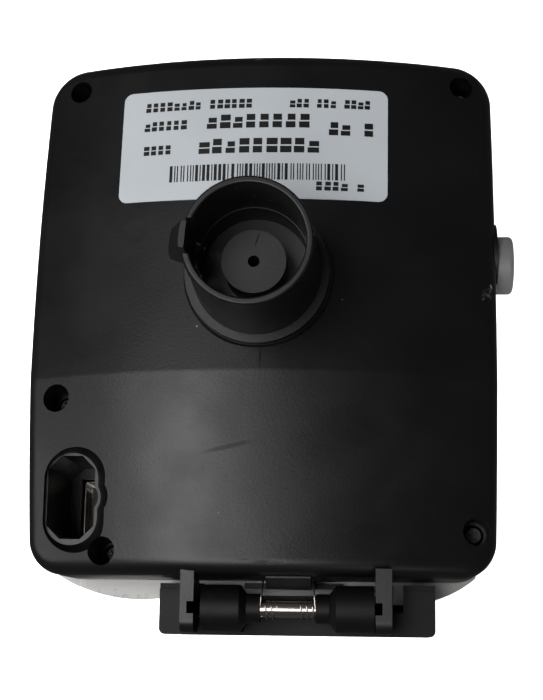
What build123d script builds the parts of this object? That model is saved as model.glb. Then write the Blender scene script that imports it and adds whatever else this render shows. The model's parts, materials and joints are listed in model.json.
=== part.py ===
"""Camera head of a desktop video magnifier.

A black rear casing and a silver front shell hold a camera, its boards and its lamps. A socket on the back takes the
supporting arm and lets the head swivel. A close-up lens on a sprung door swings away from the front.
Millimetres. Sub-parts are drawn in the case frame: X to the right and Y to the top as seen from behind, Z = 0 on the
back surface under the socket, growing towards the arm. export() moves them so the origin is the mouth of the socket.
"""
from build123d import *
import math
import os

# ---------------------------------------------------------------- driving dimensions
# Case outline, seen from behind
TOP_Y, BOTTOM_Y = 65.6, -77.5
TOP_LEFT, TOP_RIGHT = 61.3, 62.9
WIDEST_LEFT, WIDEST_RIGHT, WIDEST_Y = 62.6, 63.2, 12.0
BOTTOM_LEFT, BOTTOM_RIGHT = 59.7, 61.5
TOP_CORNER, BOTTOM_CORNER = 11.0, 9.8
WALL = 2.5
EDGE_ROUND = 4.2

# Back surface: crowned across X, level below the crease and tilted away above it
CROWN_RADIUS = 160.0
CREASE_Y, CREASE_Z = -25.2, 3.1
TILT = 7.0

# Depths
PARTING_Z = -35.0          # joint between rear casing and front shell
DOOR_FLOOR_Z = -58.5       # floor of the recess that takes the lens door
FRONT_Z = -64.0

# Arm socket
MOUTH_Z = 36.0             # where the bore's straight wall ends, the origin of the part
SOCKET_TOP, RIM_ROUND = 36.6, 0.55
SEAT_Z = 16.0
SOCKET_BORE, SOCKET_RIM, SOCKET_ROOT = 14.15, 15.9, 16.7
GROOVE_RADIUS, GROOVE_FLOOR = 13.9, 5.6
BOSS_RADIUS, PILOT_RADIUS = 8.2, 1.5
FLANGE_RADIUS, FLANGE_BOTTOM, FLANGE_TOP = 18.8, 3.3, 6.0
HUB_RADIUS, HUB_BOTTOM = 10.0, -11.0
PAD_RADIUS, PAD_TOP, PAD_BOTTOM, PAD_SLOPE = 19.5, 3.0, -6.0, 0.9
WASHER_RADIUS = 15.0
LATCH_ANGLE, LATCH_WIDTH, LATCH_INNER, LATCH_OUTER = 175.0, 6.5, 15.0, 19.9
LATCH_LOW, LATCH_NECK, LATCH_PAD_LOW, LATCH_PAD_HIGH = 7.0, 20.5, 24.0, 28.5   # foot, neck and thumb pad
SLITS = [(-1, 0.9), (1, 1.5)]          # side of the finger and width of the slit

# Casing screws: x, y, counterbore radius, height of the joint under the post
SCREW_PLACES = [
    (-52.3, 58.0, 3.2, -35.0),
    (54.5, 58.3, 3.2, -35.0),
    (-53.7, -31.3, 3.7, -29.0),
    (-39.5, -71.5, 3.65, -29.0),
    (56.5, -65.5, 3.6, -29.0),
]
SEAT_ABOVE_JOINT = 5.0
SCREW_RADIUS, SCREW_HEAD, SCREW_REACH = 1.5, 2.75, 12.0
INSERT_RADIUS, INSERT_LENGTH = 2.2, 6.0

# Video cable well
PORT_X, PORT_Y = -49.3, -57.2
PORT_WIDTH, PORT_HEIGHT, PORT_CHAMFER = 12.5, 21.9, 3.5
POCKET_FLOOR, POCKET_STEP = -9.2, 4.6           # floor height, and the height over which the walls lean out
POCKET_LEFT, POCKET_RIGHT, POCKET_TOP, POCKET_BOTTOM = -56.1, -42.2, -45.5, -69.7    # edges of the floor
LEAN_RIGHT, LEAN_TOP, LEAN_BOTTOM = 1.95, 0.9, 2.1         # how far each wall leans out per step
POCKET_BUMP, POCKET_BUMP_RADIUS = 0.8, 5.6                 # how far the bump stands out of the right wall
BUMP_REACH, BUMP_RADIUS = 1.0, 4.0
WELL_BOTTOM, WELL_FLOOR = -41.0, -40.0
PORT_FACE = -43.0
PLUG_WIDTH, PLUG_HEIGHT = 5.8, 15.2

# Rating label
LABEL_X, LABEL_Y, LABEL_WIDTH, LABEL_HEIGHT = -2.5, 38.6, 73.0, 32.8

# Door hinge
HINGE_X, HINGE_Y, HINGE_Z = 8.45, -85.5, -5.5
LUGS = [(-18.5, -15.1), (34.7, 30.6)]   # outer and inner face of each lug
LUG_BOTTOM, LUG_TOP_Z, LUG_LOW_Z, LUG_ROUND = -91.7, 0.9, -11.9, 3.2
BARREL_RADIUS, NECK_RADIUS, BARREL_END, CONE_START, CONE_END = 5.9, 3.7, 21.9, 12.2, 10.5
SPRING_GAP = 7.1
PIN_RADIUS, STUB_RADIUS = 2.3, 1.5
WIRE_RADIUS, COIL_RADIUS, COIL_PITCH, COIL_LENGTH = 0.22, 2.62, 1.5, 4.2
COIL_START = 2.6           # distance of each coil from the middle of the hinge
TAB_HALF, TAB_DEEP, TAB_TOP = 5.7, 3.0, -3.0
BAR_HALF, BAR_TOP, BAR_BOTTOM = 13.5, -78.1, -79.6         # dark bar under the tab, on the chin

# Lens door
DOOR_X, DOOR_HALF = 10.15, 35.9
DOOR_BOTTOM, DOOR_ARM_TOP, DOOR_WING_TOP, DOOR_MIDDLE_TOP = -92.2, -85.4, -79.0, -82.0
DOOR_REAR, DOOR_STEP = -14.0, -33.0
DOOR_FRONT, DOOR_BACK = -63.0, -59.1
LENS_Y, LENS_RADIUS = -18.0, 27.0
SKIN, WING_LEDGE = 2.4, 1.5

# Front shell chin
CHIN_STEP, CHIN_DRAFT = 0.9, 4.0
CHANNEL_GAP = 0.7

# Side button
BUTTON_Y, BUTTON_Z, BUTTON_RADIUS = 9.2, -25.0, 8.0
BUTTON_OUTER, BUTTON_FLANGE_X, BUTTON_FLANGE_RADIUS, BUTTON_TRAVEL = 68.4, 58.9, 9.2, 1.2

# Camera and boards
CAMERA_BOTTOM, CAMERA_TOP, CAMERA_HALF = -46.0, -24.0, 20.0
CHASSIS_Z, CHASSIS_THICK = -18.5, 1.5
CHASSIS_POSTS = [(-34.0, -38.0), (-34.0, 14.0), (34.0, -38.0), (34.0, 14.0)]
BOARD_THICK = 1.6
MAIN_BOARD_Z = -55.2
MAIN_BOARD_SCREWS = [(-54.0, -41.5), (-54.0, 36.0), (-25.0, 36.0), (-34.0, -62.0)]
WINDOW_RADIUS, WINDOW_RIM = 28.0, 2.5
WINDOW_BACK, WINDOW_FRONT = -53.9, -55.4
BARREL_FRONT, BARREL_OUTER, BARREL_INNER = -53.4, 13.0, 10.5
LAMP_COUNT, LAMP_CIRCLE, LAMP_SIZE, LAMP_HEIGHT = 12, 20.0, 3.2, 1.3
LAMP_BOARD_LOW, LAMP_BOARD_HIGH = -51.6, -50.2
CAPACITORS = [(-52.0, -20.0), (-44.0, -20.0), (-36.0, -20.0)]
MEMORY_CHIPS = [(-41.0, 14.5), (-41.0, 22.5), (-41.0, 30.5)]
SWITCH_X, SWITCH_DEPTH, SWITCH_HALF = 52.0, 3.0, 3.0
RIBBON_LOW_Y, RIBBON_HIGH_Y, RIBBON_THICK = -30.0, -14.0, 0.25


# ---------------------------------------------------------------- helpers
def rod(x, y, z_low, z_high, radius):
    return Pos(x, y, (z_low + z_high) / 2) * Cylinder(radius, z_high - z_low)


def rod_x(x_a, x_b, y, z, radius):
    return Pos((x_a + x_b) / 2, y, z) * Rot(0, 90, 0) * Cylinder(radius, abs(x_b - x_a))


def block(x, y, z):
    """A box from (low, high) pairs."""
    middle = [(a + b) / 2 for a, b in (x, y, z)]
    return Pos(*middle) * Box(abs(x[1] - x[0]), abs(y[1] - y[0]), abs(z[1] - z[0]))


def prism(sketch, z_low, z_high):
    return Pos(0, 0, z_low) * extrude(sketch, z_high - z_low)


def turned(points, x=0.0, y=0.0):
    """A solid of revolution about a vertical axis from (radius, z) points."""
    outline = Plane.XZ * make_face(Polyline(*points, close=True))
    return Pos(x, y, 0) * revolve(outline, Axis.Z)


def turned_x(points, y, z):
    """A solid of revolution about an axis along X from (x, radius) points."""
    outline = Plane.XY * make_face(Polyline(*points, close=True))
    return Pos(0, y, z) * revolve(outline, Axis.X)


def tube(x, y, z_low, z_high, outer, inner):
    return rod(x, y, z_low, z_high, outer) - rod(x, y, z_low - 1, z_high + 1, inner)


def case_outline(inset=0.0):
    """Straight top and bottom, bowed sides, round corners."""
    top, bottom = TOP_Y - inset, BOTTOM_Y + inset
    top_left, top_right = inset - TOP_LEFT, TOP_RIGHT - inset
    left, right = inset - BOTTOM_LEFT, BOTTOM_RIGHT - inset
    edges = [
        Line((top_left, top), (top_right, top)),
        ThreePointArc((top_right, top), (WIDEST_RIGHT - inset, WIDEST_Y), (right, bottom)),
        Line((right, bottom), (left, bottom)),
        ThreePointArc((left, bottom), (inset - WIDEST_LEFT, WIDEST_Y), (top_left, top)),
    ]
    face = make_face(edges)
    face = fillet(face.vertices().sort_by(Axis.Y)[:2], BOTTOM_CORNER - inset)
    return fillet([v for v in face.vertices() if v.Y > top - 0.01], TOP_CORNER - inset)


def under_crown(lowered, tilt):
    """Everything below the crowned back surface."""
    drum = Pos(0, 0, -CROWN_RADIUS) * Rot(90, 0, 0) * Cylinder(CROWN_RADIUS, 500)
    return Pos(0, CREASE_Y, CREASE_Z - lowered) * Rot(-tilt, 0, 0) * drum


def case_form(inset, lowered, floor_z, radius=0.0):
    """The case's outer form down to floor_z."""
    form = prism(case_outline(inset), floor_z, 20) & under_crown(lowered, 0) & under_crown(lowered, TILT)
    if radius:
        curved = [e for e in form.edges() if e.bounding_box().max.Z > floor_z + 1 and not along_crease(e)]
        rim = [e for e in curved if e.bounding_box().min.Z > floor_z + 1]
        form = fillet(rim, radius)
    return form


def along_crease(edge):
    box = edge.bounding_box()
    return box.size.Y < 0.01 and abs(box.max.Y - CREASE_Y) < 0.5


def pocket_track(steps, grow=0.0):
    """Racetrack of the pocket around the plug opening, a number of steps above its floor."""
    left, right = POCKET_LEFT - grow, POCKET_RIGHT + LEAN_RIGHT * steps + grow
    top, bottom = POCKET_TOP + LEAN_TOP * steps + grow, POCKET_BOTTOM - LEAN_BOTTOM * steps - grow
    track = Rot(0, 0, 90) * SlotOverall(top - bottom, right - left)
    return Pos((left + right) / 2, (top + bottom) / 2) * track


def pocket_bump(steps):
    """Circle of the bump on the pocket's right wall, a number of steps above the floor."""
    right = POCKET_RIGHT + LEAN_RIGHT * steps + POCKET_BUMP
    radius = POCKET_BUMP_RADIUS + 0.2 * steps
    return Pos(right - radius, PORT_Y - 0.3 * steps) * Circle(radius)


def pocket():
    """The funnel cut around the plug opening."""
    steps = 3
    height = POCKET_FLOOR + POCKET_STEP * steps
    funnel = loft([Pos(0, 0, POCKET_FLOOR) * pocket_track(0), Pos(0, 0, height) * pocket_track(steps)])
    return funnel + loft([Pos(0, 0, POCKET_FLOOR) * pocket_bump(0), Pos(0, 0, height) * pocket_bump(steps)])


def port_outline(grow=0.0):
    """The eight-sided plug opening."""
    half_w, half_h = PORT_WIDTH / 2 + grow, PORT_HEIGHT / 2 + grow
    outline = Rectangle(2 * half_w, 2 * half_h)
    bump = Pos(half_w + BUMP_REACH - BUMP_RADIUS, 0) * Circle(BUMP_RADIUS)
    return Pos(PORT_X, PORT_Y) * (chamfer(outline.vertices(), PORT_CHAMFER) + bump)


def door_outline(grow=0.0):
    """The lens door seen from the front: round over the lens, straight below."""
    half = DOOR_HALF + grow
    body = Pos(DOOR_X, (LENS_Y + DOOR_BOTTOM) / 2) * Rectangle(2 * half, LENS_Y - DOOR_BOTTOM + 2 * grow)
    return body + Pos(DOOR_X, LENS_Y) * Circle(half)


# ---------------------------------------------------------------- casing
def hinge_lug(outer, inner):
    """A lug that holds one end of the hinge pin; a notch in its inner face lets the pin in from behind."""
    lug = block(sorted((outer, inner)), (LUG_BOTTOM, BOTTOM_Y + 2), (LUG_LOW_Z, LUG_TOP_Z))
    lug = fillet(lug.edges().filter_by(Axis.X).group_by(Axis.Y)[0], LUG_ROUND)
    towards = 1 if outer > inner else -1
    lug -= rod_x(inner - towards, outer - towards, HINGE_Y, HINGE_Z, STUB_RADIUS + 0.04)
    notch = sorted((inner - towards, inner + 1.7 * towards))
    return lug - block(notch, (HINGE_Y - STUB_RADIUS, HINGE_Y + STUB_RADIUS), (HINGE_Z, LUG_TOP_Z + 1))


def hinge_tab():
    """Sloping tab behind the spring's legs, and the bar that runs under it along the chin."""
    low_z = PARTING_Z + 0.1
    tab = block((HINGE_X - TAB_HALF, HINGE_X + TAB_HALF), (BOTTOM_Y - TAB_DEEP, BOTTOM_Y + 2), (TAB_TOP - 9, TAB_TOP))
    tab = chamfer(tab.edges().filter_by(Axis.X).group_by(Axis.Y)[0].group_by(Axis.Z)[-1:], TAB_DEEP - 0.4)
    tab += block((HINGE_X - TAB_HALF, HINGE_X + TAB_HALF), (BAR_BOTTOM, BOTTOM_Y + 2), (low_z, TAB_TOP - 5))
    return tab + block((HINGE_X - BAR_HALF, HINGE_X + BAR_HALF), (BAR_BOTTOM, BAR_TOP), (low_z, low_z + 2))


def rear_cover():
    outer = case_form(0, 0, PARTING_Z, EDGE_ROUND)
    cover = outer - case_form(WALL, WALL, PARTING_Z - 1)
    cover += turned([
        (0, PAD_BOTTOM), (PAD_RADIUS, PAD_BOTTOM), (PAD_RADIUS, PAD_TOP - PAD_SLOPE),
        (PAD_RADIUS - 0.6, PAD_TOP), (0, PAD_TOP),
    ])
    for x, y, counterbore, joint in SCREW_PLACES:
        cover += rod(x, y, joint, 10, counterbore + 1.5) & outer
        cover -= rod(x, y, PARTING_Z - 1, joint, INSERT_RADIUS + 1.9)
    cover += prism(pocket_track(1, 2.2), POCKET_FLOOR - 2.2, 10) & outer
    cover += prism(port_outline(1.6), WELL_BOTTOM, POCKET_FLOOR - 0.5)
    for outer_face, inner_face in LUGS:
        cover += hinge_lug(outer_face, inner_face)
    for x, y in CHASSIS_POSTS:
        cover += rod(x, y, CHASSIS_Z + CHASSIS_THICK, 0, 3.2) & outer
    cover += hinge_tab()
    cover += rod_x(60.5, 63.9, BUTTON_Y + 1.8, BUTTON_Z, BUTTON_RADIUS + 1.6)

    cover -= rod(0, 0, PAD_BOTTOM - 5, PAD_TOP + 1, HUB_RADIUS + 0.06)
    for x, y, counterbore, joint in SCREW_PLACES:
        cover -= rod(x, y, joint + SEAT_ABOVE_JOINT, 10, counterbore)
        cover -= rod(x, y, joint - 1, joint + SEAT_ABOVE_JOINT + 1, SCREW_RADIUS + 0.25)
    for x, y in CHASSIS_POSTS:
        cover -= rod(x, y, CHASSIS_Z, CHASSIS_Z + 8, 1.25)
    cover -= pocket()
    cover -= prism(port_outline(), WELL_FLOOR, 5)
    plug_slot = Pos(PORT_X, PORT_Y) * Rectangle(PLUG_WIDTH + 0.8, PLUG_HEIGHT + 0.8)
    cover -= prism(plug_slot, WELL_BOTTOM - 1, 5)
    cover -= rod_x(58, 70, BUTTON_Y, BUTTON_Z, BUTTON_RADIUS + 0.12)
    return cover


def front_shell():
    """Silver front half: walls, front face with the door recess, chin, and bosses for the casing screws."""
    outer = prism(case_outline(), FRONT_Z, PARTING_Z)
    outer = chamfer(outer.faces().sort_by(Axis.Z)[0].edges(), 1.5)
    depth = PARTING_Z - FRONT_Z - 1.5
    outer += Pos(0, 0, PARTING_Z) * extrude(chin_outline(), depth, dir=(0, 0, -1), taper=CHIN_DRAFT)
    shell = outer - prism(case_outline(WALL), DOOR_FLOOR_Z + WALL, PARTING_Z + 1)
    shell -= prism(case_outline(WALL) - door_outline(CHANNEL_GAP + WALL), FRONT_Z + WALL, PARTING_Z + 1)
    shell -= prism(door_outline(CHANNEL_GAP), FRONT_Z - 1, DOOR_FLOOR_Z)
    shell -= chin_step()
    for x, y, _, joint in SCREW_PLACES:
        shell += rod(x, y, FRONT_Z + 1, joint, INSERT_RADIUS + 1.6) & prism(case_outline(), -70, 0)
        shell -= rod(x, y, joint - SCREW_REACH, joint + 1, SCREW_RADIUS + 0.25)
        shell -= rod(x, y, joint - INSERT_LENGTH, joint + 1, INSERT_RADIUS)
    shell += tube(DOOR_X, LENS_Y, DOOR_FLOOR_Z + WALL, BARREL_FRONT, WINDOW_RADIUS + 1.8, WINDOW_RADIUS + 0.1)
    for x, y in MAIN_BOARD_SCREWS:
        shell += rod(x, y, FRONT_Z + 1, MAIN_BOARD_Z, 2.6)
        shell -= rod(x, y, MAIN_BOARD_Z - 2.8, MAIN_BOARD_Z + 1, 0.9)
    return shell - rod(DOOR_X, LENS_Y, FRONT_Z - 1, -50, WINDOW_RADIUS - WINDOW_RIM)


def chin_outline():
    """Bulge under the case, seen from behind."""
    edges = [
        ThreePointArc((-57.0, -76.6), (-46.0, -81.35), (-29.0, -82.6)),
        Line((-29.0, -82.6), (38.0, -83.6)),
        ThreePointArc((38.0, -83.6), (50.5, -80.9), (58.0, -76.2)),
        Line((58.0, -76.2), (58.0, -72.0)),
        Line((58.0, -72.0), (-57.0, -72.0)),
        Line((-57.0, -72.0), (-57.0, -76.6)),
    ]
    return make_face(edges)


def chin_step():
    """The lowered outer strip of the chin's rear face, left of the door."""
    line = Polyline((-60, -79.6), (-37.8, -79.5), (-32.3, -81.3), (-24, -82.0), (-24, -90), (-60, -90), close=True)
    return prism(make_face(line), PARTING_Z - CHIN_STEP, PARTING_Z + 1)


def casing_screws():
    screws = Part()
    for x, y, _, joint in SCREW_PLACES:
        seat = joint + SEAT_ABOVE_JOINT
        screw = rod(x, y, seat - SCREW_REACH, seat, SCREW_RADIUS)
        head = rod(x, y, seat, seat + 2.2, SCREW_HEAD)
        head = fillet(head.faces().sort_by(Axis.Z)[-1].edges(), 0.9)
        for turn in (0, 90):
            cross = Pos(x, y, seat + 1.6) * Rot(0, 0, turn + 20) * Box(3.2, 0.75, 1.4)
            head -= cross
        screws += screw + head
    return screws


def threaded_inserts():
    inserts = Part()
    for x, y, _, joint in SCREW_PLACES:
        inserts += tube(x, y, joint - INSERT_LENGTH, joint - 0.1, INSERT_RADIUS - 0.02, SCREW_RADIUS + 0.02)
    return inserts


def rating_label():
    outline = Pos(LABEL_X, LABEL_Y) * Rot(0, 0, -0.4) * RectangleRounded(LABEL_WIDTH, LABEL_HEIGHT, 2.5)
    return (prism(outline, -30, 20) & under_crown(-0.3, TILT)) - under_crown(-0.01, TILT)


# ---------------------------------------------------------------- arm socket
def arm_socket():
    """Tube with a boss in the middle, a flange on the casing and a hub through it; a latch finger is cut in the wall."""
    body = turned([
        (0, HUB_BOTTOM), (HUB_RADIUS, HUB_BOTTOM), (HUB_RADIUS, FLANGE_BOTTOM), (FLANGE_RADIUS, FLANGE_BOTTOM),
        (FLANGE_RADIUS, FLANGE_TOP), (SOCKET_ROOT, FLANGE_TOP), (SOCKET_RIM, SOCKET_TOP),
        (SOCKET_BORE, SOCKET_TOP), (SOCKET_BORE, SEAT_Z), (GROOVE_RADIUS, SEAT_Z), (GROOVE_RADIUS, GROOVE_FLOOR),
        (BOSS_RADIUS, GROOVE_FLOOR), (BOSS_RADIUS, SEAT_Z), (0, SEAT_Z),
    ])
    rim = body.edges().filter_by(GeomType.CIRCLE).filter_by(lambda e: e.center().Z > SOCKET_TOP - 0.1)
    body = fillet(rim, RIM_ROUND)
    body -= rod(0, 0, SEAT_Z - 10, SEAT_Z + 1, PILOT_RADIUS)
    body -= tube(0, 0, -9.1, -7.45, HUB_RADIUS + 1, HUB_RADIUS - 1.0)
    latch = Rot(0, 0, LATCH_ANGLE)
    half = LATCH_WIDTH / 2
    body -= latch * block((SOCKET_BORE - 2, LATCH_INNER), (-half, half), (SEAT_Z + 1, SOCKET_TOP + 1))
    flare = [
        (0, LATCH_LOW), (SOCKET_ROOT + 0.8, LATCH_LOW), (SOCKET_ROOT + 0.6, LATCH_NECK),
        (LATCH_OUTER, LATCH_PAD_LOW), (LATCH_OUTER, LATCH_PAD_HIGH),
        (SOCKET_RIM + 1.0, SOCKET_TOP - 0.4), (SOCKET_RIM + 0.6, SOCKET_TOP), (0, SOCKET_TOP),
    ]
    body += latch * block((LATCH_INNER, LATCH_OUTER + 1), (-half, half), (LATCH_LOW, SOCKET_TOP)) & turned(flare)
    for side, width in SLITS:
        near, far = sorted((side * half, side * (half + width)))
        body -= latch * block((SOCKET_BORE - 2, LATCH_OUTER + 3), (near, far), (10, SOCKET_TOP + 1))
    return body


def friction_washer():
    return tube(0, 0, PAD_BOTTOM - 1.4, PAD_BOTTOM, WASHER_RADIUS, HUB_RADIUS + 0.05)


def retaining_ring():
    """A spring clip in the hub's groove, open on one side."""
    ring = tube(0, 0, -9.0, PAD_BOTTOM - 1.5, HUB_RADIUS + 3.5, HUB_RADIUS - 0.95)
    return ring - block((-3.5, 3.5), (0, 20), (-12, 0))


# ---------------------------------------------------------------- door, lens and hinge
def lens_door():
    """Cross member on the hinge, two arms and a floor under the chin, and a front plate that carries the lens."""
    left, right = DOOR_X - DOOR_HALF, DOOR_X + DOOR_HALF
    door = prism(door_outline(), DOOR_FRONT, DOOR_BACK)
    beam = block((left, right), (DOOR_BOTTOM, DOOR_WING_TOP), (DOOR_STEP, DOOR_REAR))
    beam -= block((left + SKIN, right - SKIN), (DOOR_BOTTOM + SKIN, DOOR_WING_TOP + 1), (DOOR_STEP - 1, DOOR_REAR - SKIN))
    beam -= block((left - 1, right + 1), (DOOR_WING_TOP - WING_LEDGE, DOOR_WING_TOP + 1), (DOOR_REAR - 0.8, DOOR_REAR + 1))
    beam -= block((-14.2, 31.2), (DOOR_MIDDLE_TOP, DOOR_WING_TOP + 1), (DOOR_STEP - 1, DOOR_REAR + 1))
    arms = block((left, right), (DOOR_BOTTOM, DOOR_ARM_TOP), (DOOR_FRONT, DOOR_STEP))
    arms -= block((left + SKIN, right - SKIN), (DOOR_BOTTOM + SKIN, DOOR_ARM_TOP + 1), (DOOR_BACK, DOOR_STEP + 1))
    frame = beam + arms
    frame = fillet(frame.edges().filter_by(Axis.Z).group_by(Axis.Y)[0], 1.6)
    frame -= block((35.2, 37.8), (-86.0, DOOR_WING_TOP + 1), (DOOR_REAR - 3, DOOR_REAR + 1))
    door += frame
    for side in (-1, 1):
        door += hinge_barrel(side)
    door -= rod(DOOR_X, LENS_Y, DOOR_FRONT - 1, DOOR_BACK + 1, LENS_RADIUS - 1.5)
    door -= rod(DOOR_X, LENS_Y, DOOR_FRONT + 1.2, DOOR_BACK + 1, LENS_RADIUS + 2.0)
    return door


def hinge_barrel(side):
    """Barrel, cone and neck on the hinge line, joined to the tray by a web."""
    def at(distance):
        return HINGE_X + side * distance

    outline = [
        (at(SPRING_GAP), PIN_RADIUS + 0.05), (at(SPRING_GAP), NECK_RADIUS), (at(CONE_END), NECK_RADIUS),
        (at(CONE_START), BARREL_RADIUS), (at(BARREL_END), BARREL_RADIUS), (at(BARREL_END), PIN_RADIUS + 0.05),
    ]
    barrel = turned_x(outline, HINGE_Y, HINGE_Z)
    ends = sorted((at(CONE_START), at(BARREL_END)))
    web = block(ends, (HINGE_Y - BARREL_RADIUS, DOOR_MIDDLE_TOP), (DOOR_REAR - 1, HINGE_Z))
    bore = rod_x(at(CONE_END), at(BARREL_END + 1), HINGE_Y, HINGE_Z, BARREL_RADIUS - 1)
    return barrel + (web - bore)


def close_up_lens():
    """Plano-convex magnifying lens."""
    disc = rod(DOOR_X, LENS_Y, DOOR_FRONT + 1.25, DOOR_FRONT + 2.6, LENS_RADIUS + 1.4)
    ball_radius, rise = 240.0, 1.1
    ball = Pos(DOOR_X, LENS_Y, DOOR_FRONT + 2.6 + rise - ball_radius) * Sphere(ball_radius)
    return disc + (rod(DOOR_X, LENS_Y, DOOR_FRONT + 2.6, DOOR_FRONT + 6, LENS_RADIUS - 2.5) & ball)


def lens_ring():
    return tube(DOOR_X, LENS_Y, DOOR_FRONT + 2.65, DOOR_BACK, LENS_RADIUS + 1.9, LENS_RADIUS - 2.0)


def door_bumpers():
    """Rubber pads that stop the door against the recess floor."""
    pads = Part()
    for x, y in [(DOOR_X - 29, -60), (DOOR_X + 29, -60), (DOOR_X, 14.0)]:
        pads += rod(x, y, DOOR_BACK, DOOR_BACK + 0.4, 2.5)
    return pads


def hinge_pin():
    """Steel pin through both barrels, with thinner stubs in the lugs."""
    (left_outer, left_inner), (right_outer, right_inner) = LUGS
    pin = rod_x(left_inner + 0.2, right_inner - 0.2, HINGE_Y, HINGE_Z, PIN_RADIUS)
    return pin + rod_x(left_outer + 1.2, right_outer - 1.2, HINGE_Y, HINGE_Z, STUB_RADIUS)


def hinge_spring():
    """Double torsion spring: two coils on the pin, joined by a loop on the door, with legs behind the tab."""
    spring = Part()
    for side in (-1, 1):
        start = HINGE_X + side * COIL_START
        path = Pos(start, HINGE_Y, HINGE_Z) * Rot(0, side * 90, 0) * Helix(COIL_PITCH, COIL_LENGTH, COIL_RADIUS)
        section = Plane(origin=path @ 0, z_dir=path % 0) * Circle(WIRE_RADIUS)
        spring += sweep(section, path)
    return spring


# ---------------------------------------------------------------- side button
def side_button():
    cap = rod_x(BUTTON_FLANGE_X, BUTTON_OUTER, BUTTON_Y, BUTTON_Z, BUTTON_RADIUS)
    cap = fillet(cap.faces().sort_by(Axis.X)[-1].edges(), 1.2)
    flange = rod_x(BUTTON_FLANGE_X, BUTTON_FLANGE_X + 1.4, BUTTON_Y, BUTTON_Z, BUTTON_FLANGE_RADIUS)
    return cap + (flange - block((50, 70), (-10, 30), (BUTTON_Z + 6.6, 0)))


def button_switch():
    reach = BUTTON_FLANGE_X - BUTTON_TRAVEL - 0.15
    across = (BUTTON_Y - SWITCH_HALF, BUTTON_Y + SWITCH_HALF)
    case = block((SWITCH_X, SWITCH_X + SWITCH_DEPTH), across, (BUTTON_Z - SWITCH_HALF, BUTTON_Z + SWITCH_HALF))
    return case + rod_x(SWITCH_X + SWITCH_DEPTH - 1, reach, BUTTON_Y, BUTTON_Z, 1.7)


def button_board():
    return block((SWITCH_X - BOARD_THICK, SWITCH_X), (BUTTON_Y - 12, BUTTON_Y + 12), (BUTTON_Z - 7, BUTTON_Z + 6.2))


# ---------------------------------------------------------------- camera and boards
def inner_chassis():
    """Sheet-metal plate screwed under the rear casing, carrying the camera and the button board."""
    plate = prism(Pos(7.0, -12.0) * RectangleRounded(94, 62, 4), CHASSIS_Z, CHASSIS_Z + CHASSIS_THICK)
    plate += block((48.8, 50.3), (BUTTON_Y - 10, BUTTON_Y + 9), (-33, CHASSIS_Z + CHASSIS_THICK))
    for x, y in CHASSIS_POSTS:
        plate -= rod(x, y, -30, -10, 1.7)
    for x, y in camera_corners():
        plate -= rod(x, y, -30, -10, 1.2)
    return plate


def chassis_screws():
    screws = Part()
    for x, y in CHASSIS_POSTS:
        screws += rod(x, y, CHASSIS_Z - 1.6, CHASSIS_Z, 2.6)
        screws += rod(x, y, CHASSIS_Z - 0.1, CHASSIS_Z + 7, 1.23)
    return screws


def camera_corners():
    reach = CAMERA_HALF - 3
    return [(DOOR_X + a * reach, LENS_Y + b * reach) for a in (-1, 1) for b in (-1, 1)]


def camera_block():
    body = Pos(DOOR_X, LENS_Y) * RectangleRounded(2 * CAMERA_HALF, 2 * CAMERA_HALF, 3)
    body = prism(body, CAMERA_BOTTOM, CAMERA_TOP)
    body -= rod(DOOR_X, LENS_Y, CAMERA_BOTTOM - 1, CAMERA_TOP - 3, BARREL_OUTER + 0.1)
    for x, y in camera_corners():
        body += rod(x, y, CAMERA_TOP - 1, CHASSIS_Z, 2.5)
    return body


def camera_barrel():
    return tube(DOOR_X, LENS_Y, BARREL_FRONT, CAMERA_TOP - 4, BARREL_OUTER, BARREL_INNER)


def objective_lens():
    return rod(DOOR_X, LENS_Y, BARREL_FRONT + 0.9, BARREL_FRONT + 3.4, BARREL_INNER - 0.05)


def sensor_board():
    plate = Pos(DOOR_X, LENS_Y) * Rectangle(27, 27)
    return prism(plate, CAMERA_TOP + 0.02, CAMERA_TOP + BOARD_THICK)


def main_board():
    plate = block((-56.6, -21.5), (-72.5, 40), (MAIN_BOARD_Z, MAIN_BOARD_Z + BOARD_THICK))
    plate -= block((-60, -50), (-80, -66), (-60, -50)) + rod(-40.3, -71.5, -60, -50, 4.6)
    plate -= rod(-53.6, -31.3, -60, -50, 4.6)
    for x, y in MAIN_BOARD_SCREWS:
        plate -= rod(x, y, -60, -50, 1.2)
    return plate


def board_screws():
    screws = Part()
    top = MAIN_BOARD_Z + BOARD_THICK
    for x, y in MAIN_BOARD_SCREWS:
        screws += rod(x, y, top, top + 1.5, 2.0) + rod(x, y, MAIN_BOARD_Z - 2.6, top + 0.1, 0.88)
    return screws


def board_parts():
    """Processor, memory and capacitors on the main board."""
    top = MAIN_BOARD_Z + BOARD_THICK
    chips = block((-46, -30), (-10, 6), (top, top + 1.4))
    for x, y in MEMORY_CHIPS:
        chips += block((x - 5, x + 5), (y - 2.5, y + 2.5), (top, top + 1.0))
    for x, y in CAPACITORS:
        chips += rod(x, y, top, top + 7, 3.1)
    return chips


def port_shell():
    """Folded steel shell of the video socket."""
    top = MAIN_BOARD_Z + BOARD_THICK
    outer = Pos(PORT_X, PORT_Y) * RectangleRounded(PLUG_WIDTH, PLUG_HEIGHT, 0.8)
    inner = Pos(PORT_X, PORT_Y) * RectangleRounded(PLUG_WIDTH - 0.6, PLUG_HEIGHT - 0.6, 0.5)
    return prism(outer, top, PORT_FACE) - prism(inner, top + 1, PORT_FACE + 1)


def port_tongue():
    top = MAIN_BOARD_Z + BOARD_THICK + 1
    return block((PORT_X - 0.9, PORT_X + 0.9), (PORT_Y - 6, PORT_Y + 6), (top, PORT_FACE - 1.2))


def lamp_board():
    return tube(DOOR_X, LENS_Y, LAMP_BOARD_LOW, LAMP_BOARD_HIGH, 26.5, 14.0)


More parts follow.
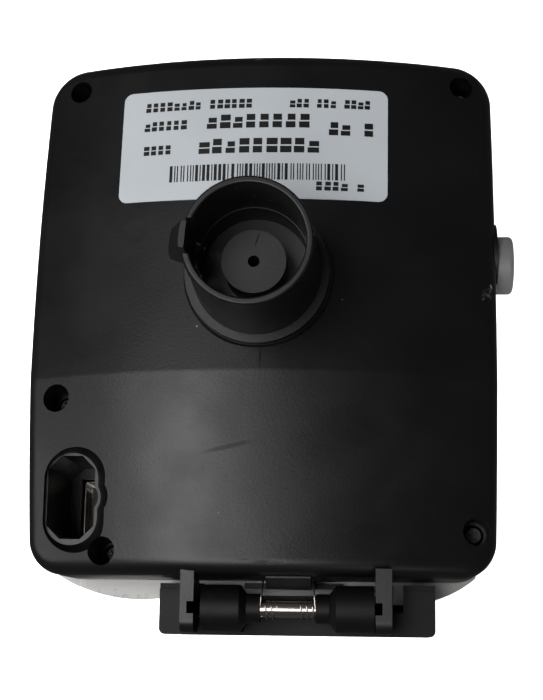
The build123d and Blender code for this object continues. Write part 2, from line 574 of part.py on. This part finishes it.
def lamps():
    leds = Part()
    for index in range(LAMP_COUNT):
        turn = 2 * math.pi * index / LAMP_COUNT
        x, y = DOOR_X + LAMP_CIRCLE * math.cos(turn), LENS_Y + LAMP_CIRCLE * math.sin(turn)
        leds += Pos(x, y, LAMP_BOARD_LOW - LAMP_HEIGHT / 2) * Box(LAMP_SIZE, LAMP_SIZE, LAMP_HEIGHT)
    return leds


def lamp_posts():
    """Spacers between the camera and the lamp board."""
    posts = Part()
    for x, y in camera_corners():
        posts += rod(x, y, LAMP_BOARD_HIGH, CAMERA_BOTTOM, 2.0)
    return posts


def front_window():
    return rod(DOOR_X, LENS_Y, WINDOW_FRONT, WINDOW_BACK, WINDOW_RADIUS)


def window_gasket():
    return tube(DOOR_X, LENS_Y, DOOR_FLOOR_Z + WALL, WINDOW_FRONT, WINDOW_RADIUS, WINDOW_RADIUS - 2.0)


def ribbon_cable():
    """Flat cable from the sensor board down to the main board."""
    top = CAMERA_TOP + BOARD_THICK
    board = MAIN_BOARD_Z + BOARD_THICK
    across = (RIBBON_LOW_Y, RIBBON_HIGH_Y)
    flat = block((-23, -3), across, (top, top + RIBBON_THICK))
    drop = block((-23 - RIBBON_THICK, -23), across, (board, top + RIBBON_THICK))
    foot = block((-28.5, -23), across, (board, board + RIBBON_THICK))
    return flat + drop + foot


PARTS = [
    rear_cover, front_shell, casing_screws, threaded_inserts, rating_label, arm_socket, friction_washer,
    retaining_ring, lens_door, close_up_lens, lens_ring, door_bumpers, hinge_pin, hinge_spring, side_button,
    button_switch, button_board, inner_chassis, chassis_screws, camera_block, camera_barrel, objective_lens,
    sensor_board, main_board, board_screws, board_parts, port_shell, port_tongue, lamp_board, lamps, lamp_posts,
    front_window, window_gasket, ribbon_cable,
]


def export(make):
    """Writes one sub-part, moved so that the mouth of the socket's bore is at Z = 0."""
    export_step(Pos(0, 0, -MOUTH_Z) * make(), os.path.join("parts", make.__name__ + ".step"))


if __name__ == "__main__":
    os.makedirs("parts", exist_ok=True)
    for make in PARTS:
        export(make)
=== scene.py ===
"""Looks for the video magnifier camera head, seen from behind and a little from below."""
import bpy
import bmesh
import json
import math
import random
from mathutils import Matrix, Vector


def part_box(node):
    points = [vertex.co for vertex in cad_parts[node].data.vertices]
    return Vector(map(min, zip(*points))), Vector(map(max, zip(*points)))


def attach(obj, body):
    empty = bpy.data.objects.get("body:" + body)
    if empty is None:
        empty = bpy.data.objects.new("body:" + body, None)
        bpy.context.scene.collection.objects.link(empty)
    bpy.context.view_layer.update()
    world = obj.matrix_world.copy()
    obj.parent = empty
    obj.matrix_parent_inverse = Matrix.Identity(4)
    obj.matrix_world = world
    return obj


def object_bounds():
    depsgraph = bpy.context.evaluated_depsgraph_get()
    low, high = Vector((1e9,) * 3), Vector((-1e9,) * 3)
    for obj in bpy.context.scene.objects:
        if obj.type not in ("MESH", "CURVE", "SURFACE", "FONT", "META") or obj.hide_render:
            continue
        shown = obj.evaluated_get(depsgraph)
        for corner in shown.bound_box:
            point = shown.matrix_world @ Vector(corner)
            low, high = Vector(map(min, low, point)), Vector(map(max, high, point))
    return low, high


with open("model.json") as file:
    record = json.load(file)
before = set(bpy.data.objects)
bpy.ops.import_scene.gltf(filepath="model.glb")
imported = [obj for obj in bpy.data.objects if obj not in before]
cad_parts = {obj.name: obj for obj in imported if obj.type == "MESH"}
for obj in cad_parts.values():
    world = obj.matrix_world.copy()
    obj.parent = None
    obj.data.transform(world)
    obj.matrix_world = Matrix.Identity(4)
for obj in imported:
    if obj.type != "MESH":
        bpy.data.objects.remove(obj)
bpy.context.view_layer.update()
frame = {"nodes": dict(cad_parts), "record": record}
MM = 0.001
scene = bpy.context.scene

# ---------------------------------------------------------------- camera
CAMERA_PLACE = (0.02893, -0.093, 0.332)
CAMERA_LENS, CAMERA_SENSOR = 74.57, 36.0

camera_data = bpy.data.cameras.new("camera")
camera = bpy.data.objects.new("camera", camera_data)
scene.collection.objects.link(camera)
camera_data.sensor_width = CAMERA_SENSOR
camera_data.lens = CAMERA_LENS
camera_data.clip_start = 0.01
right = Vector((0.99775, 0.01313, -0.06579))
up = Vector((0.0, 0.98067, 0.19569))
back = right.cross(up).normalized()
up = back.cross(right).normalized()
turn = Matrix((right, up, back)).transposed().to_4x4()
camera.matrix_world = Matrix.Translation(CAMERA_PLACE) @ turn
scene.camera = camera
scene.view_settings.view_transform = "Standard"

# ---------------------------------------------------------------- materials
MIX_FIRST, MIX_SECOND, MIX_RESULT = 6, 7, 2     # colour sockets of the mix node
GRAIN_HEIGHT, SCRATCH_HEIGHT = 0.0001, 0.00005  # metres


class Shader:
    """A small builder for procedural materials, in object coordinates (metres)."""

    def __init__(self, name):
        self.material = bpy.data.materials.new(name)
        self.material.use_nodes = True
        self.tree = self.material.node_tree
        self.bsdf = self.tree.nodes["Principled BSDF"]
        self.coords = self.node("ShaderNodeTexCoord").outputs["Object"]

    def node(self, kind, **values):
        made = self.tree.nodes.new(kind)
        for key, value in values.items():
            setattr(made, key, value)
        return made

    def link(self, output, node, socket):
        self.tree.links.new(output, node.inputs[socket])

    def noise(self, scale, detail=3.0, stretch=(1, 1, 1), roughness=0.55):
        place = self.node("ShaderNodeMapping")
        place.inputs["Scale"].default_value = stretch
        self.link(self.coords, place, "Vector")
        made = self.node("ShaderNodeTexNoise")
        made.inputs["Scale"].default_value = scale
        made.inputs["Detail"].default_value = detail
        made.inputs["Roughness"].default_value = roughness
        self.link(place.outputs["Vector"], made, "Vector")
        return made.outputs["Fac"]

    def ramp(self, factor, low, high, from_value=0.0, to_value=1.0):
        made = self.node("ShaderNodeMapRange")
        made.inputs["From Min"].default_value = low
        made.inputs["From Max"].default_value = high
        made.inputs["To Min"].default_value = from_value
        made.inputs["To Max"].default_value = to_value
        self.link(factor, made, "Value")
        return made.outputs["Result"]

    def mix(self, factor, first, second):
        made = self.node("ShaderNodeMix", data_type="RGBA")
        self.link(factor, made, 0)
        for socket, value in ((MIX_FIRST, first), (MIX_SECOND, second)):
            if isinstance(value, tuple):
                made.inputs[socket].default_value = (*value, 1.0)
            else:
                self.link(value, made, socket)
        return made.outputs[MIX_RESULT]

    def spot(self, centre, radii, turn=0.0, soft=0.5):
        """1 inside an ellipsoid given in row-frame millimetres, fading to 0 at its border."""
        place = self.node("ShaderNodeMapping", vector_type="TEXTURE")
        place.inputs["Location"].default_value = [c * MM for c in centre]
        place.inputs["Rotation"].default_value = (0, 0, math.radians(turn))
        place.inputs["Scale"].default_value = [r * MM for r in radii]
        self.link(self.coords, place, "Vector")
        size = self.node("ShaderNodeVectorMath", operation="LENGTH")
        self.link(place.outputs["Vector"], size, 0)
        return self.ramp(size.outputs["Value"], soft, 1.0, 1.0, 0.0)

    def both(self, first, second):
        """The product of two masks, or of a mask and a number."""
        made = self.node("ShaderNodeMath", operation="MULTIPLY")
        self.link(first, made, 0)
        if isinstance(second, float):
            made.inputs[1].default_value = second
        else:
            self.link(second, made, 1)
        return made.outputs[0]

    def bump(self, height, strength, distance, after=None):
        made = self.node("ShaderNodeBump")
        made.inputs["Strength"].default_value = strength
        made.inputs["Distance"].default_value = distance
        self.link(height, made, "Height")
        if after is not None:
            self.link(after, made, "Normal")
        return made.outputs["Normal"]


def surface(name, dark, light, rough, grain=1600.0, depth=0.25, wear=None, metallic=0.0, patch=22.0,
            scratch=0.0, marks=(), specular=0.5):
    """Colour drifting between two tones, grain, uneven roughness, and optional scuffs, hairlines, marks."""
    s = Shader(name)
    s.bsdf.inputs["Specular IOR Level"].default_value = specular
    colour = s.mix(s.ramp(s.noise(patch, 4.0), 0.35, 0.68), dark, light)
    if wear:
        wear_tone, wear_strength = wear
        scuffs = s.ramp(s.noise(75.0, 6.0, roughness=0.7), 0.66, 0.78, 0.0, wear_strength)
        colour = s.mix(scuffs, colour, wear_tone)
    normal = s.bump(s.noise(grain, 2.0), depth, GRAIN_HEIGHT)
    if scratch:
        lines = s.ramp(s.noise(260.0, 2.0, (1.0, 0.04, 1.0)), 0.69, 0.72, 0.0, scratch)
        colour = s.mix(lines, colour, tuple(min(1.0, c * 3 + 0.05) for c in light))
        normal = s.bump(lines, 0.3, SCRATCH_HEIGHT, normal)
    shine = specular
    for tone, strength, centre, radii, angle, broken in marks:
        mask = s.both(s.spot(centre, radii, angle), strength)
        if broken:
            mask = s.both(mask, s.ramp(s.noise(broken, 5.0, roughness=0.75), 0.5, 0.62))
        colour = s.mix(mask, colour, tone)
        if tone is DARK:
            clear_of = s.ramp(mask, 0.0, 1.0, 1.0, 0.0)
            shine = s.both(clear_of, shine)
            s.link(shine, s.bsdf, "Specular IOR Level")
    s.link(colour, s.bsdf, "Base Color")
    s.link(normal, s.bsdf, "Normal")
    s.link(s.ramp(s.noise(40.0, 5.0), 0.3, 0.7, rough - 0.06, rough + 0.08), s.bsdf, "Roughness")
    s.bsdf.inputs["Metallic"].default_value = metallic
    return s.material


def clear(name, tint, rough):
    """Clear plastic or glass with faint smears."""
    s = Shader(name)
    colour = s.mix(s.ramp(s.noise(30.0), 0.3, 0.7), tint, tuple(c * 0.96 for c in tint))
    s.link(colour, s.bsdf, "Base Color")
    s.link(s.ramp(s.noise(60.0, 5.0), 0.4, 0.8, rough, rough + 0.06), s.bsdf, "Roughness")
    s.link(s.bump(s.noise(900.0), 0.02, GRAIN_HEIGHT), s.bsdf, "Normal")
    s.bsdf.inputs["Transmission Weight"].default_value = 0.95
    s.bsdf.inputs["IOR"].default_value = 1.49
    return s.material


# Marks: tone, strength, centre mm, radii mm, turn about Z, scale of the broken edge (0 for none).
# DARK marks also take the shine away. The pale dust tone also serves for painted glints.
SCUFF, DUST_AND_GLINT, DARK = (0.10, 0.10, 0.105), (0.35, 0.36, 0.37), (0.0, 0.0, 0.0)
PAINTED_HIGHLIGHT, SEAM = (0.95, 0.93, 0.90), (0.05, 0.05, 0.055)
CASING_MARKS = [
    (SCUFF, 0.9, (60.3, -2.4, -48.0), (1.6, 2.6, 9.0), -25.0, 900.0),
    (DUST_AND_GLINT, 0.5, (61.6, 0.2, -50.0), (0.3, 0.8, 9.0), 15.0, 0.0),
    (SCUFF, 0.9, (-1.5, 64.2, -47.0), (1.9, 1.3, 6.0), 20.0, 1200.0),
    (DARK, 0.8, (0.95, -22.0, -33.5), (0.18, 3.6, 3.0), 0.0, 0.0),
    (DUST_AND_GLINT, 0.6, (-15.8, -13.4, -35.0), (0.3, 0.3, 4.0), 0.0, 0.0),
    (DARK, 0.35, (-7.0, -45.2, -34.0), (8.5, 0.8, 6.0), 13.0, 0.0),
    (DUST_AND_GLINT, 0.4, (22.0, -6.0, -35.5), (0.22, 0.22, 4.0), 0.0, 0.0),
    (DUST_AND_GLINT, 0.35, (-9.0, -62.0, -34.0), (0.2, 0.2, 4.0), 0.0, 0.0),
]
SOCKET_MARKS = [
    (DUST_AND_GLINT, 1.0, (15.8, 1.9, -2.0), (0.45, 0.35, 1.3), 0.0, 0.0),
    (DUST_AND_GLINT, 0.8, (13.4, 4.2, -16.0), (1.2, 2.4, 3.2), 20.0, 700.0),
    (SCUFF, 0.8, (11.8, 7.4, -14.0), (2.6, 2.6, 4.0), -38.0, 600.0),
    # The next three marks, near the top of the bore, are painted glints in the pale dust tone.
    (DUST_AND_GLINT, 0.6, (1.8, 13.9, -10.5), (2.2, 0.7, 0.35), 0.0, 900.0),
    (DUST_AND_GLINT, 0.5, (-3.0, 13.8, -3.0), (0.3, 0.5, 0.25), 0.0, 0.0),
    (DUST_AND_GLINT, 0.5, (4.5, 13.3, -12.2), (0.3, 0.5, 0.25), 0.0, 0.0),
    (DARK, 0.9, (0.8, 5.6, -20.0), (0.17, 2.5, 0.7), -18.0, 0.0),
    (DUST_AND_GLINT, 0.35, (7.5, -17.6, -30.0), (2.2, 0.22, 0.6), 12.0, 800.0),
]
# The port shell and the two ends of the hinge pin, darkened as if in shadow
STEEL_MARKS = [
    (DARK, 1.0, (-49.3, -57.2, -84.0), (8.0, 14.0, 6.2), 0.0, 0.0),
    (DARK, 1.0, (-15.5, -85.5, -41.5), (5.0, 6.0, 6.0), 0.0, 0.0),
    (DARK, 1.0, (32.0, -85.5, -41.5), (5.0, 6.0, 6.0), 0.0, 0.0),
]
# Two painted highlights as pale strips, and the broken seam on the chin
SHELL_MARKS = [
    (PAINTED_HIGHLIGHT, 1.0, (8.5, -78.0, -71.0), (32.0, 1.2, 4.0), 0.0, 0.0),
    (PAINTED_HIGHLIGHT, 1.0, (8.5, -81.3, -71.0), (16.0, 1.9, 4.0), 0.0, 0.0),
    (SEAM, 0.75, (-43.0, -81.2, -72.5), (14.0, 1.6, 1.6), -4.0, 500.0),
]

LOOKS = {
    "black_casing": surface("black_casing", (0.0024, 0.0025, 0.0029), (0.0034, 0.0035, 0.0040), 0.37,
                            grain=1500.0, depth=0.3, wear=((0.02, 0.02, 0.021), 0.06), scratch=0.02,
                            marks=CASING_MARKS, specular=0.32),
    "silver_shell": surface("silver_shell", (0.36, 0.345, 0.325), (0.42, 0.405, 0.385), 0.30,
                            grain=900.0, depth=0.1, wear=((0.30, 0.29, 0.28), 0.08), scratch=0.1,
                            marks=SHELL_MARKS),
    "socket_plastic": surface("socket_plastic", (0.0028, 0.0029, 0.0032), (0.0040, 0.0041, 0.0045), 0.42,
                              grain=1100.0, depth=0.22, wear=((0.03, 0.03, 0.031), 0.1), scratch=0.05,
                              marks=SOCKET_MARKS, specular=0.34),
    "door_plastic": surface("door_plastic", (0.0028, 0.0029, 0.0032), (0.0038, 0.0039, 0.0043), 0.46,
                            grain=1300.0, depth=0.25, wear=((0.03, 0.03, 0.03), 0.1), scratch=0.03,
                            specular=0.13),
    "label_film": surface("label_film", (0.44, 0.465, 0.485), (0.485, 0.51, 0.53), 0.42,
                          grain=1400.0, depth=0.08, wear=((0.5, 0.5, 0.5), 0.15)),
    "steel": surface("steel", (0.34, 0.31, 0.28), (0.44, 0.40, 0.36), 0.16,
                     grain=700.0, depth=0.08, wear=((0.2, 0.16, 0.12), 0.25), metallic=1.0,
                     marks=STEEL_MARKS),
    "black_steel": surface("black_steel", (0.03, 0.03, 0.031), (0.05, 0.05, 0.052), 0.35,
                           grain=800.0, depth=0.2, wear=((0.3, 0.3, 0.3), 0.3), metallic=1.0),
    "brass": surface("brass", (0.52, 0.36, 0.13), (0.62, 0.44, 0.18), 0.3,
                     grain=800.0, depth=0.15, wear=((0.3, 0.2, 0.08), 0.2), metallic=1.0),
    "rubber": surface("rubber", (0.006, 0.006, 0.006), (0.010, 0.010, 0.010), 0.75, grain=900.0, depth=0.3),
    "circuit_board": surface("circuit_board", (0.010, 0.085, 0.03), (0.016, 0.115, 0.04), 0.35,
                             grain=500.0, depth=0.2),
    "components": surface("components", (0.008, 0.008, 0.009), (0.015, 0.015, 0.016), 0.5,
                          grain=900.0, depth=0.25),
    "camera_metal": surface("camera_metal", (0.05, 0.05, 0.054), (0.08, 0.08, 0.085), 0.38,
                            grain=1100.0, depth=0.2, metallic=1.0),
    "lamp_resin": surface("lamp_resin", (0.80, 0.70, 0.28), (0.88, 0.80, 0.42), 0.35, grain=900.0, depth=0.1),
    "flat_cable": surface("flat_cable", (0.55, 0.52, 0.44), (0.66, 0.63, 0.55), 0.45,
                          grain=700.0, depth=0.15),
    "silver_button": surface("silver_button", (0.13, 0.13, 0.13), (0.17, 0.17, 0.168), 0.40,
                             grain=1200.0, depth=0.25, wear=((0.08, 0.08, 0.08), 0.15)),
    "natural_nylon": surface("natural_nylon", (0.55, 0.53, 0.46), (0.66, 0.64, 0.57), 0.5,
                             grain=900.0, depth=0.2),
    "clear_acrylic": clear("clear_acrylic", (0.93, 0.96, 0.97), 0.02),
    "window_glass": clear("window_glass", (0.90, 0.95, 0.95), 0.01),
    "print_ink": surface("print_ink", (0.004, 0.004, 0.004), (0.007, 0.007, 0.007), 0.5,
                         grain=1400.0, depth=0.1, specular=0.3),
    "floor_paper": surface("floor_paper", (0.90, 0.90, 0.90), (0.93, 0.93, 0.93), 0.85,
                           grain=400.0, depth=0.1, patch=3.0),
}

SLOT_OF = {row["node"]: row["material_slot"] for row in frame["record"]["subparts"]}
for node, holder in frame["nodes"].items():
    material = LOOKS[SLOT_OF[node]]
    if not holder.material_slots:
        holder.data.materials.append(material)
    for place in holder.material_slots:
        place.material = material


# ---------------------------------------------------------------- helpers for new pieces
def place_mesh(name, bm, look, body, smooth=True):
    mesh = bpy.data.meshes.new(name)
    bm.to_mesh(mesh)
    bm.free()
    for face in mesh.polygons:
        face.use_smooth = smooth
    piece = bpy.data.objects.new(name, mesh)
    scene.collection.objects.link(piece)
    mesh.materials.append(LOOKS[look])
    if body:
        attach(piece, body)
    return piece


# Back surface of the casing above the crease, in millimetres of the row frame
MOUTH_HEIGHT = 36.0             # the origin over the back surface
CREASE_Y, CREASE_Z = -25.2, 3.1 - MOUTH_HEIGHT
CROWN, TILT = 160.0, math.radians(7.0)


def back_height(x, y):
    """Height of the crowned back above the crease, where the label lies."""
    along = y - CREASE_Y
    z = CREASE_Z
    for _ in range(3):
        run = along * math.cos(TILT) - (z - CREASE_Z) * math.sin(TILT)
        sag = CROWN - math.sqrt(CROWN * CROWN - x * x)
        z = CREASE_Z - run * math.sin(TILT) - sag * math.cos(TILT)
    return z


# ---------------------------------------------------------------- print on the rating label, in millimetres
INK_ABOVE_BACK = 0.34
INK_STEP = 2.0                  # longest stretch of ink before it bends with the crown
# left, right, foot, height, pitch and group lengths of each row of blocks
PRINT_ROWS = [
    (-32.5, -1.4, 49.0, 2.7, 2.0, (8, 6)),
    (7.4, 29.9, 49.0, 2.6, 1.85, (3, 3, 4)),
    (-32.7, -20.3, 43.2, 2.8, 2.05, (6,)),
    (-15.2, 14.0, 43.0, 4.1, 3.6, (8,)),
    (18.1, 31.0, 40.9, 3.9, 3.2, (2, 1)),
    (-32.6, -24.4, 36.0, 2.7, 2.05, (4,)),
    (-17.2, 16.2, 35.6, 4.3, 3.7, (9,)),
    (14.8, 30.2, 24.6, 2.6, 2.2, (4, 2)),
]
BARS_LEFT, BARS_RIGHT, BARS_LOW, BARS_HIGH = -25.0, 23.0, 27.6, 32.4
BAR_WIDTHS, BAR_GAPS = (0.3, 0.3, 0.32, 0.8), (0.4, 0.4, 0.5, 0.75)


def ink_block(bm, x0, x1, y0, y1):
    steps = max(1, int((x1 - x0) / INK_STEP))
    rows = []
    for y in (y0, y1):
        row = []
        for k in range(steps + 1):
            x = x0 + (x1 - x0) * k / steps
            row.append(bm.verts.new((x * MM, y * MM, (back_height(x, y) + INK_ABOVE_BACK) * MM)))
        rows.append(row)
    for k in range(steps):
        bm.faces.new((rows[0][k], rows[0][k + 1], rows[1][k + 1], rows[1][k]))


def greeked_line(bm, rng, x0, x1, y0, height, pitch, words):
    """A row of blocks in word-sized groups: each is two stacked bars, with no letter shapes."""
    count = int((x1 - x0) / pitch)
    breaks = set()
    at = 0
    for length in words:
        at += length
        breaks.add(at)
        at += 1
    for index in range(count):
        if index in breaks:
            continue
        x = x0 + index * pitch
        width = pitch * rng.uniform(0.66, 0.84)
        tall = height if rng.random() < 0.6 else height * 0.8
        ink_block(bm, x, x + width, y0, y0 + tall * 0.45)
        ink_block(bm, x + width * rng.uniform(0.0, 0.2), x + width, y0 + tall * 0.55, y0 + tall)


def label_print():
    """Rows of plain blocks and a random bar pattern in the places where the label has print."""
    rng = random.Random(7)
    bm = bmesh.new()
    for row in PRINT_ROWS:
        greeked_line(bm, rng, *row)
    x = BARS_LEFT
    while x < BARS_RIGHT:
        width = rng.choice(BAR_WIDTHS)
        ink_block(bm, x, x + width, BARS_LOW, BARS_HIGH)
        x += width + rng.choice(BAR_GAPS)
    place_mesh("label_print", bm, "print_ink", "case", smooth=False)


label_print()

# ---------------------------------------------------------------- legs of the hinge spring, in millimetres
WIRE_RADIUS, COIL_RADIUS = 0.22, 2.62
# along the pin towards the middle, up from the axis and out of the back, from the coil to the casing's tab
LEG_PATH = [(0.0, 0.0, COIL_RADIUS), (0.2, 2.2, 2.9), (0.5, 4.6, 2.2), (0.6, 7.0, 0.5)]


def wire(name, points, body):
    data = bpy.data.curves.new(name, "CURVE")
    data.dimensions = "3D"
    data.bevel_depth = WIRE_RADIUS * MM
    data.bevel_resolution = 4
    line = data.splines.new("NURBS")
    line.points.add(len(points) - 1)
    for point, (x, y, z) in zip(line.points, points):
        point.co = (x * MM, y * MM, z * MM, 1.0)
    line.order_u = 3
    line.use_endpoint_u = True
    data.materials.append(LOOKS["steel"])
    piece = bpy.data.objects.new(name, data)
    scene.collection.objects.link(piece)
    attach(piece, body)


PIN_LOW, PIN_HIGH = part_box("hinge_pin")
SPRING_LOW, SPRING_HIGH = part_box("hinge_spring")
AXIS_Y = (PIN_LOW[1] + PIN_HIGH[1]) / 2 / MM
AXIS_Z = (PIN_LOW[2] + PIN_HIGH[2]) / 2 / MM
for side, sign, coil_end in (("left", -1, SPRING_LOW[0] / MM), ("right", 1, SPRING_HIGH[0] / MM)):
    leg = [(coil_end - inward * sign, AXIS_Y + rise, AXIS_Z + out) for inward, rise, out in LEG_PATH]
    wire("spring_leg_" + side, leg, "case")

# ---------------------------------------------------------------- floor and light, in metres
FLOOR_HALF, FLOOR_STEPS, FLOOR_GAP = 3.0, 24, 0.0002
HEAD_MIDDLE, HINGE_SIDE = (0, -0.02, -0.05), (0, -0.08, -0.05)
COOL, FILL_TINT, WHITE = (0.985, 0.99, 1.0), (0.96, 0.98, 1.0), (1.0, 1.0, 1.0)
WORLD_COLOUR, WORLD_STRENGTH = (0.95, 0.97, 1.0, 1.0), 0.085

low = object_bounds()[0]


def lay_floor():
    bm = bmesh.new()
    spots = [-FLOOR_HALF + 2 * FLOOR_HALF * i / FLOOR_STEPS for i in range(FLOOR_STEPS + 1)]
    grid = [[bm.verts.new((x, y, low[2] - FLOOR_GAP)) for x in spots] for y in spots]
    for j in range(FLOOR_STEPS):
        for i in range(FLOOR_STEPS):
            bm.faces.new((grid[j][i], grid[j][i + 1], grid[j + 1][i + 1], grid[j + 1][i]))
    sheet = place_mesh("floor", bm, "floor_paper", None)
    sheet.visible_glossy = False          # the dark sides stay dark beside the pale paper
    return sheet


floor = lay_floor()


def area_light(name, place, target, size, power, tint):
    data = bpy.data.lights.new(name, "AREA")
    data.shape = "RECTANGLE"
    data.size, data.size_y = size
    data.energy = power
    data.color = tint
    lamp = bpy.data.objects.new(name, data)
    scene.collection.objects.link(lamp)
    lamp.location = place
    lamp.rotation_euler = (Vector(target) - Vector(place)).to_track_quat("-Z", "Y").to_euler()
    return lamp


area_light("soft_left", (-0.28, -0.14, 0.90), HEAD_MIDDLE, (1.0, 0.40), 10.4, COOL)
area_light("far_left", (-0.95, -0.12, 0.52), HEAD_MIDDLE, (0.36, 0.36), 2.6, COOL)
area_light("front_fill", (0.35, -0.8, 0.45), HINGE_SIDE, (0.3, 0.3), 0.4, FILL_TINT)

# A shadowless light on the floor alone keeps it pale around the dark casing.
floor_light = area_light("floor_light", (0, 0, 1.6), (0, 0, -0.1), (1.5, 1.5), 60.0, WHITE)
floor_light.data.use_shadow = False
floor_only = bpy.data.collections.new("floor_only")
floor_only.objects.link(floor)
floor_light.light_linking.receiver_collection = floor_only

world = bpy.data.worlds.new("studio")
scene.world = world
world.use_nodes = True
world.node_tree.nodes["Background"].inputs["Color"].default_value = WORLD_COLOUR
world.node_tree.nodes["Background"].inputs["Strength"].default_value = WORLD_STRENGTH
